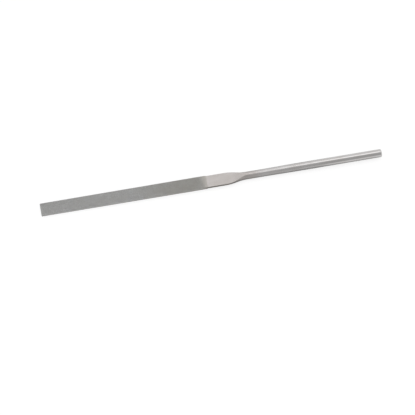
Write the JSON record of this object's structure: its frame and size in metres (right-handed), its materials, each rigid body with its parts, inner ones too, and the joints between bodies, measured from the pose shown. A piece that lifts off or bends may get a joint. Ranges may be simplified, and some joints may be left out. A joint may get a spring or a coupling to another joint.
{
  "type": "flat needle file",
  "caption": "Slim flat hand file with a matt diamond-coated blade, a bright steel shoulder and a thin round steel grip.",
  "frame": {"origin": "on the centre line, half way along the file", "axes": "+X from the tip towards the grip's butt, +Y across the blade's width, +Z out of the upper wide face"},
  "size_m": [0.14, 0.0056, 0.0032],
  "materials": {
    "steel": "fine ground and satin",
    "nickel": "dull as-plated nickel",
    "diamond": "matt, evenly gritty abrasive"
  },
  "bodies": {
    "root": {"steel_blank": "steel", "nickel_bond": "nickel", "diamond_grit": "diamond"}
  },
  "joints": []
}
